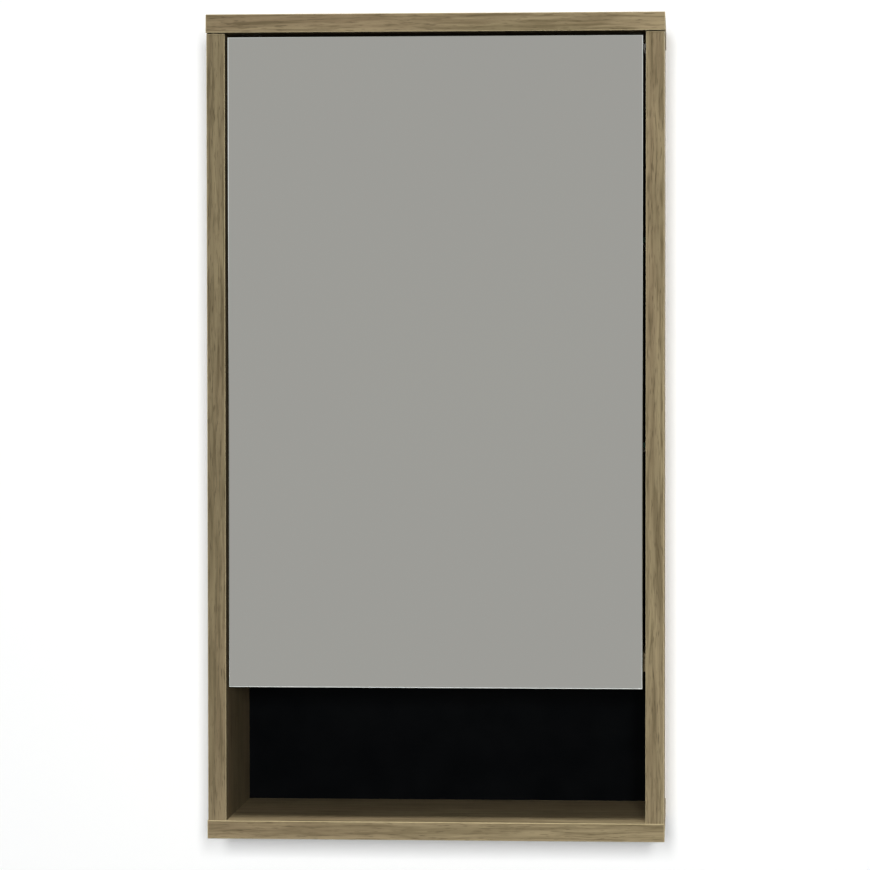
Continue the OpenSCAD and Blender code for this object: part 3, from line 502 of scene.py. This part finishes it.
tone = addNode(tree, "ShaderNodeMath", {"operation": "MULTIPLY_ADD", 1: fibre["screenShare"]},
               {0: screen.outputs[0], 2: tone.outputs[0]})
shade = addNode(tree, "ShaderNodeMapRange", {"From Min": fibre["darkest"], "From Max": fibre["lightest"]},
                {"Value": tone.outputs[0]})
shade = addNode(tree, "ShaderNodeMix", {"data_type": "RGBA", 6: linearColour(fibre["dark"]),
                                        7: linearColour(fibre["light"])}, {0: shade.outputs["Result"]})
tree.links.new(shade.outputs[2], shader.inputs["Base Color"])
bump = addNode(tree, "ShaderNodeBump", {"Strength": fibre["bump"], "Distance": fibre["relief"] * mm},
               {"Height": tone.outputs[0]})
tree.links.new(bump.outputs["Normal"], shader.inputs["Normal"])

# silver behind float glass: a clean reflection with a faint grey-green cast, barely wandering in tone over
# patches of 250 mm
silver = {"clear": "#f2f3ef", "hazy": "#f0f0ee", "patch": 250, "roughest": 0.02}
silvered, tree, shader = newMaterial("silveredGlass", {"Metallic": 1.0})
spot = addNode(tree, "ShaderNodeTexCoord")
haze = addNode(tree, "ShaderNodeTexNoise", {"Scale": 1 / (silver["patch"] * mm), "Detail": 2.0},
               {"Vector": spot.outputs["Object"]})
shade = addNode(tree, "ShaderNodeMix", {"data_type": "RGBA", 6: linearColour(silver["clear"]),
                                        7: linearColour(silver["hazy"])}, {0: haze.outputs["Fac"]})
tree.links.new(shade.outputs[2], shader.inputs["Base Color"])
gloss = addNode(tree, "ShaderNodeMapRange", {"To Max": silver["roughest"]}, {"Value": haze.outputs["Fac"]})
tree.links.new(gloss.outputs["Result"], shader.inputs["Roughness"])

# the ground and polished arris of the mirror: glass over silver, with what the grinding left in it drawn as
# soft patches of 17 mm
ground = {"stops": [(0.3, "#e2e9e4"), (0.7, "#f7f9f7")], "patch": 16.667, "gloss": (0.02, 0.1)}
arrisGlass, tree, shader = newMaterial("polishedArris", {"Metallic": 1.0, "IOR": 1.52})
spot = addNode(tree, "ShaderNodeTexCoord")
grind = addNode(tree, "ShaderNodeTexNoise", {"Scale": 1 / (ground["patch"] * mm), "Detail": 3.0},
                {"Vector": spot.outputs["Object"]})
shade = addNode(tree, "ShaderNodeValToRGB", {"stops": ground["stops"]}, {"Fac": grind.outputs["Fac"]})
tree.links.new(shade.outputs["Color"], shader.inputs["Base Color"])
gloss = addNode(tree, "ShaderNodeMapRange", {"To Min": ground["gloss"][0], "To Max": ground["gloss"][1]},
                {"Value": grind.outputs["Fac"]})
tree.links.new(gloss.outputs["Result"], shader.inputs["Roughness"])

# float glass: nearly clear on its faces, and green where the light gathers in its polished edges
floatGlass = {"clear": "#f2faf6", "tinted": "#ecf7f1", "ripple": 71.43,
              "edgeStops": [(0.3, "#4f8a76"), (0.7, "#7db3a0")], "edgePatch": 22.22}
glassFaces, tree, shader = newMaterial("floatGlass", {"Transmission Weight": 1.0, "Roughness": 0.0, "IOR": 1.52})
spot = addNode(tree, "ShaderNodeTexCoord")
ripple = addNode(tree, "ShaderNodeTexNoise", {"Scale": 1 / (floatGlass["ripple"] * mm), "Detail": 1.0},
                 {"Vector": spot.outputs["Object"]})
shade = addNode(tree, "ShaderNodeMix", {"data_type": "RGBA", 6: linearColour(floatGlass["clear"]),
                                        7: linearColour(floatGlass["tinted"])}, {0: ripple.outputs["Fac"]})
tree.links.new(shade.outputs[2], shader.inputs["Base Color"])
glassEdges, tree, shader = newMaterial("floatGlassEdge", {"Transmission Weight": 0.35, "Roughness": 0.12,
                                                          "IOR": 1.52})
spot = addNode(tree, "ShaderNodeTexCoord")
depth = addNode(tree, "ShaderNodeTexNoise", {"Scale": 1 / (floatGlass["edgePatch"] * mm), "Detail": 2.0},
                {"Vector": spot.outputs["Object"]})
shade = addNode(tree, "ShaderNodeValToRGB", {"stops": floatGlass["edgeStops"]}, {"Fac": depth.outputs["Fac"]})
tree.links.new(shade.outputs["Color"], shader.inputs["Base Color"])

# the remaining finishes share one build: a slow cloud in the colour and the gloss, and a fine grit in the relief
# name: colour, cloud colour, metallic, IOR, roughness from and to, grit and relief in mm, cloud in mm
finishes = {
    # matt black lacquer on hardboard: almost no light comes back
    "blackLacquer": ("#040506", "#08090a", 0.0, 1.12, 0.55, 0.7, 1.2, 0.02, 30),
    # nickel plate on pressed steel: warm grey and satin, with slow smears from the drawing
    "nickelPlatedSteel": ("#c8c4bc", "#b5b1a9", 1.0, None, 0.38, 0.52, 0.5, 0.006, 9),
    # blue-passivated zinc: cooler than the nickel, with a faint cloudy spangle
    "zincPlatedSteel": ("#bcc1c8", "#a0a6ae", 1.0, None, 0.36, 0.54, 0.5, 0.010, 5),
    # moulded ABS: off-white with a fine spark-eroded grain
    "mouldedAbs": ("#e6e5e0", "#dddcd6", 0.0, 1.53, 0.34, 0.46, 0.35, 0.020, 25),
    # cast silicone: milky and soft, with a wet sheen
    "clearSilicone": ("#d4d8da", "#c2c8cb", 0.0, 1.41, 0.22, 0.34, 0.8, 0.010, 4),
    # planed beech: pinkish and even, with short dark flecks
    "beechDowel": ("#c9a577", "#b18a5b", 0.0, 1.5, 0.55, 0.7, 0.5, 0.030, 1.5),
    # moulded caps in the colour of the boards: flat and even beside the printed grain
    "oakColouredPlastic": ("#8d7f61", "#85775a", 0.0, 1.46, 0.42, 0.55, 0.4, 0.015, 12),
    # the arris of an edging strip, scraped by the edge bander and given a painted highlight: paler than the print
    "scrapedEdgingAndPaintedHighlight": ("#a39675", "#948767", 0.0, 1.5, 0.36, 0.46, 0.6, 0.010, 6),
    # paint on the back of the mirror: grey and slightly uneven
    "mirrorBackPaint": ("#8d9291", "#838887", 0.0, 1.5, 0.5, 0.65, 0.6, 0.020, 15)}
cloudEnds = (0.3, 0.7)  # the noise seldom leaves this range
gritBump = 0.3
made = {}
for name, (colour, clouded, metallic, ior, glossMin, glossMax, grit, relief, drift) in finishes.items():
    made[name], tree, shader = newMaterial(name, {"Metallic": metallic, **({"IOR": ior} if ior else {})})
    spot = addNode(tree, "ShaderNodeTexCoord")
    cloud = addNode(tree, "ShaderNodeTexNoise", {"Scale": 1 / (drift * mm), "Detail": 3.0},
                    {"Vector": spot.outputs["Object"]})
    spread = addNode(tree, "ShaderNodeMapRange", {"From Min": cloudEnds[0], "From Max": cloudEnds[1]},
                     {"Value": cloud.outputs["Fac"]})
    shade = addNode(tree, "ShaderNodeMix", {"data_type": "RGBA", 6: linearColour(colour),
                                            7: linearColour(clouded)}, {0: spread.outputs["Result"]})
    tree.links.new(shade.outputs[2], shader.inputs["Base Color"])
    gloss = addNode(tree, "ShaderNodeMapRange", {"To Min": glossMin, "To Max": glossMax},
                    {"Value": spread.outputs["Result"]})
    tree.links.new(gloss.outputs["Result"], shader.inputs["Roughness"])
    grains = addNode(tree, "ShaderNodeTexNoise", {"Scale": 1 / (grit * mm), "Detail": 2.0},
                     {"Vector": spot.outputs["Object"]})
    bump = addNode(tree, "ShaderNodeBump", {"Strength": gritBump, "Distance": relief * mm},
                   {"Height": grains.outputs["Fac"]})
    tree.links.new(bump.outputs["Normal"], shader.inputs["Normal"])
print("finishes ready")

# boards: node, finish, and the sides whose edges stay sharp, because another piece lies against them.
# The other edges are eased, and the rear edges of the boards are raw chipboard
boards = {"ease": 0.3, "steps": 2, "topJoint": 0.8,
          "pieces": {"top_panel": (oakAcross, (frontFace,)),
                     "bottom_panel": (oakAcross, (frontFace,)),
                     "left_side_panel": (oakUpright, (frontFace, underside, upperSide)),
                     "right_side_panel": (oakUpright, (frontFace, underside, upperSide)),
                     "fixed_shelf": (oakAcross, (frontFace, leftFace, rightFace))}}
for node, (finish, spared) in boards["pieces"].items():
    piece = freshCopy(node)
    roundEdges(piece, onSides(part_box(node), spared), boards["ease"], boards["steps"])
    if "side" in node:
        lowerTop(piece, boards["topJoint"])
    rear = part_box(node)[1].y
    paint(piece, finish, (chipboard, lambda face: face.normal.y > squareOn and abs(face.center.y - rear) < hair))
    finishPiece(piece, node)

# edging: thin strips with a softer arris than the boards behind them, in mm. The arris is paler, partly where it
# was scraped and partly as a painted highlight: on the faces whose normals reach between these two to the front
edging = {"steps": 3, "scrapedAndPaintedHighlight": (0.2, 0.98),
          "pieces": {"top_edging": (oakAcross, 0.6, (rearFace,)),
                     "bottom_edging": (oakAcross, 0.7, (rearFace,)),
                     "left_edging": (oakUpright, 0.5, (rearFace, underside)),
                     "right_edging": (oakUpright, 0.5, (rearFace, underside)),
                     "shelf_edging": (oakAcross, 0.5, (rearFace, leftFace, rightFace))}}
for node, (finish, radius, spared) in edging["pieces"].items():
    piece = freshCopy(node)
    roundEdges(piece, onSides(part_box(node), spared), radius, edging["steps"])
    if node in ("left_edging", "right_edging"):
        lowerTop(piece, boards["topJoint"])
    # the paler arris finish is partly scraped edging and partly a painted highlight
    paint(piece, finish, (made["scrapedEdgingAndPaintedHighlight"],
                          lambda face: edging["scrapedAndPaintedHighlight"][0] < -face.normal.y < edging["scrapedAndPaintedHighlight"][1]))
    finishPiece(piece, node)

# back panel: black lacquer towards the shelves and the niche, raw board towards the wall
back = {"ease": 0.25, "steps": 2, "rawFrom": 0.2}  # faces whose normal reaches further back than this are raw
piece = freshCopy("back_panel")
easeAll(piece, back["ease"], back["steps"])
paint(piece, made["blackLacquer"], (hardboard, lambda face: face.normal.y > back["rawFrom"]))
finishPiece(piece, "back_panel")
print("carcass made")

# mirror: the front edges are ground to a rounded arris and the back is painted
mirror = {"arris": 1.0, "steps": 5}
piece = freshBlock("mirror_glass")
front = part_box("mirror_glass")[0].y
roundEdges(piece, lambda a, b: abs(a.y - front) < hair and abs(b.y - front) < hair,
           mirror["arris"], mirror["steps"])
paint(piece, arrisGlass, (silvered, lambda face: face.normal.y < -squareOn),
      (made["mirrorBackPaint"], lambda face: face.normal.y > squareOn))
for face in piece.data.polygons:
    face.use_smooth = abs(face.normal.y) < squareOn
finishPiece(piece, "mirror_glass")

# door board and its edging, in the same oak as the carcass; the board's outer edges and the rims of its bores
# are eased
door = {"boardEase": 0.2, "edgingRound": 0.4, "steps": 2}
piece = freshCopy("door_board")
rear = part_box("door_board")[1].y
roundEdges(piece, lambda a, b: along(0)(a, b) or along(2)(a, b) or max(a.y, b.y) > rear - hair,
           door["boardEase"], door["steps"])
paint(piece, oakUpright)
finishPiece(piece, "door_board")
piece = freshCopy("door_edging")
roundEdges(piece, onSides(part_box("door_edging"), (frontFace,)), door["edgingRound"], door["steps"])
paint(piece, oakUpright)
finishPiece(piece, "door_edging")
print("door made")

# glass shelves, with polished round edges
glass = {"round": 0.8, "steps": 4}
for node in ("upper_glass_shelf", "lower_glass_shelf"):
    piece = freshBlock(node)
    easeAll(piece, glass["round"], glass["steps"])
    paint(piece, glassFaces, (glassEdges, lambda face: abs(face.normal.z) < squareOn))
    finishPiece(piece, node)
print("shelves made")

# small metal and plastic pieces: node, finish, how far its edges are eased in mm, and in how many steps
fittings = {
    "upper_shelf_pins": ("nickelPlatedSteel", 0.3, 3),
    "lower_shelf_pins": ("nickelPlatedSteel", 0.3, 3),
    "upper_hinge_cup": ("nickelPlatedSteel", 0.3, 2),
    "lower_hinge_cup": ("nickelPlatedSteel", 0.3, 2),
    "upper_hinge_arm": ("nickelPlatedSteel", 0.35, 3),
    "lower_hinge_arm": ("nickelPlatedSteel", 0.35, 3),
    "upper_hinge_plate": ("nickelPlatedSteel", 0.35, 2),
    "lower_hinge_plate": ("nickelPlatedSteel", 0.35, 2),
    "upper_outer_link": ("nickelPlatedSteel", 0.2, 2),
    "lower_outer_link": ("nickelPlatedSteel", 0.2, 2),
    "upper_inner_link": ("nickelPlatedSteel", 0.2, 2),
    "lower_inner_link": ("nickelPlatedSteel", 0.2, 2),
    "arm_pins": ("zincPlatedSteel", 0.15, 2),
    "cup_pins": ("zincPlatedSteel", 0.15, 2),
    "hinge_cup_screws": ("zincPlatedSteel", 0.25, 3),
    "hinge_plate_screws": ("zincPlatedSteel", 0.3, 3),
    "hinge_arm_screws": ("zincPlatedSteel", 0.3, 3),
    "left_hanger_body": ("mouldedAbs", 0.4, 2),
    "right_hanger_body": ("mouldedAbs", 0.4, 2),
    "left_hanger_hook": ("zincPlatedSteel", 0.25, 2),
    "right_hanger_hook": ("zincPlatedSteel", 0.25, 2),
    "left_hanger_cover": ("mouldedAbs", 0.2, 2),
    "right_hanger_cover": ("mouldedAbs", 0.2, 2),
    "hanger_adjusters": ("zincPlatedSteel", 0.2, 2),
    "left_wall_plate": ("zincPlatedSteel", 0.2, 2),
    "right_wall_plate": ("zincPlatedSteel", 0.2, 2),
    "carcass_screws": ("zincPlatedSteel", 0.2, 2),
    "screw_caps": ("oakColouredPlastic", 0.25, 2),
    "carcass_dowels": ("beechDowel", 0.8, 2),
    "door_bumpers": ("clearSilicone", 0.2, 1)}

# the shapes that some of them get first, in mm
hangerCover = {"round": 2.0, "steps": 4, "frame": 3.0, "sink": 0.25}
hingeCup = {"wingRound": 5.5, "steps": 8}
wallPlate = {"cornerRound": 4.0, "outerBend": 2.2, "innerBend": 0.6, "bendReach": 2.5, "steps": 5}
hangerHook = {"round": 1.4, "steps": 4}
bumper = {"dome": 1.9, "steps": 6}
for node, (finish, ease, steps) in fittings.items():
    piece = freshCopy(node)
    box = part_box(node)
    if "cover" in node:
        # moulded cap: soft outer edges, and a sunk field on its broad face, which looks into the cabinet
        inner, outer = (rightFace, leftFace) if node.startswith("left") else (leftFace, rightFace)
        broad = box[inner[1]].x
        roundEdges(piece, onSides(box, (rearFace, outer)), hangerCover["round"], hangerCover["steps"])
        pickFaces(piece, lambda face: abs(face.normal.x) > squareOn and abs(face.center.x - broad) < hair)
        bpy.ops.mesh.inset(thickness=hangerCover["frame"] * mm, depth=-hangerCover["sink"] * mm)
    elif node in ("upper_hinge_cup", "lower_hinge_cup"):
        # the flange's two wings end in half rounds
        roundEdges(piece, atEnds(box), hingeCup["wingRound"], hingeCup["steps"])
    elif "wall_plate" in node:
        # pressed from strip: round corners in the flat, and true bends where its lip leaves the wall
        roundEdges(piece, atEnds(box), wallPlate["cornerRound"], wallPlate["steps"])
        root = max(v.co.z for v in piece.data.vertices if v.co.y > -hair)
        roundEdges(piece, lambda a, b: along(0)(a, b) and (
            abs(a.y - box[1].y) < hair and abs(a.z - root) < hair or abs(a.y - box[0].y) < hair and a.z < root),
            wallPlate["outerBend"], wallPlate["steps"])
        roundEdges(piece, lambda a, b: along(0)(a, b) and (
            box[0].y + hair < a.y < -hair and abs(a.z - root) < wallPlate["bendReach"] * mm),
            wallPlate["innerBend"], wallPlate["steps"])
    elif "hook" in node:
        roundEdges(piece, along(0), hangerHook["round"], hangerHook["steps"])
    elif node == "door_bumpers":
        roundEdges(piece, lambda a, b: max(a.y, b.y) < box[0].y + hair, bumper["dome"], bumper["steps"])
    easeAll(piece, ease, steps)
    paint(piece, made[finish])
    finishPiece(piece, node)
    if finish.endswith("Steel"):
        metalPieces.objects.link(piece)
print("fittings made")
